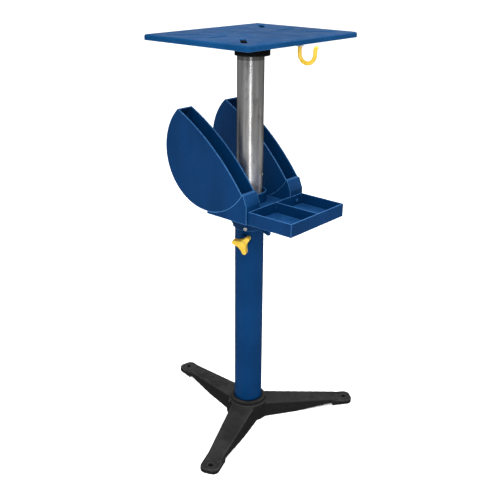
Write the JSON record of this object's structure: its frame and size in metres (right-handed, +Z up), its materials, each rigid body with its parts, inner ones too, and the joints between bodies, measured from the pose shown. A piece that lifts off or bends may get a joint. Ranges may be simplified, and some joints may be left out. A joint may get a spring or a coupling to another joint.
{
  "type": "bench grinder pedestal stand",
  "caption": "Height-adjustable pedestal for a bench grinder: slotted plate on a telescoping column, wheel pockets, tool tray and a three-legged cast base.",
  "frame": {"origin": "on the column's axis, at the floor", "axes": "+Z up the column, -Y towards the operator and the tool tray, +X to the operator's right"},
  "size_m": [0.4304, 0.4177, 0.8374],
  "materials": {
    "cast_black": "rough black paint",
    "flange_black": "satin black paint",
    "blue_paint": "satin blue paint",
    "blue_plastic": "satin moulded plastic",
    "bare_steel": "bare drawn tube",
    "zinc_steel": "bright zinc plate",
    "black_steel": "black oxide",
    "black_plastic": "matt",
    "yellow_plastic": "smooth"
  },
  "bodies": {
    "stand": {"cast_base": "cast_black", "base_set_screw": "black_steel", "lower_tube": "blue_paint", "clamp_boss": "blue_paint", "holder_saddle": "blue_plastic", "tool_tray": "blue_plastic", "wheel_pocket_left": "blue_plastic", "wheel_pocket_right": "blue_plastic", "pocket_screw_left_1": "zinc_steel", "pocket_screw_left_2": "zinc_steel", "pocket_screw_right_1": "zinc_steel", "pocket_screw_right_2": "zinc_steel", "tray_screw_left": "blue_plastic", "tray_screw_right": "blue_plastic", "holder_set_screw": "zinc_steel"},
    "mast_foot": {"glide_plug": "black_plastic"},
    "head": {"upper_tube": "bare_steel", "column_flange": "flange_black", "top_plate": "blue_paint", "plate_screw_1": "zinc_steel", "plate_screw_2": "zinc_steel", "plate_screw_3": "zinc_steel", "plate_screw_4": "zinc_steel", "plate_hook": "yellow_plastic", "hook_weld_nut": "blue_paint", "hook_lock_nut": "zinc_steel"},
    "clamp_screw": {"clamp_stud": "zinc_steel"},
    "knob": {"clamp_knob": "yellow_plastic"}
  },
  "joints": [
    {"name": "height_slide", "type": "slide", "parent": "stand", "child": "mast_foot", "axis": [0, 0, 1], "range_m": [-0.09, 0.12]},
    {"name": "head_swivel", "type": "hinge", "parent": "mast_foot", "child": "head", "pos_m": [0, 0, 0.5], "axis": [0, 0, 1], "continuous": true},
    {"name": "stud_advance", "type": "slide", "parent": "stand", "child": "clamp_screw", "axis": [-0.8988, -0.4384, 0], "range_m": [0, 0.003]},
    {"name": "knob_turn", "type": "hinge", "parent": "clamp_screw", "child": "knob", "pos_m": [-0.0449, -0.0219, 0.429], "axis": [-0.8988, -0.4384, 0], "range_deg": [0, 720]}
  ],
  "couplings": [
    {"joint": "knob_turn", "follows": "stud_advance", "rad_per_m": 4188.8}
  ]
}
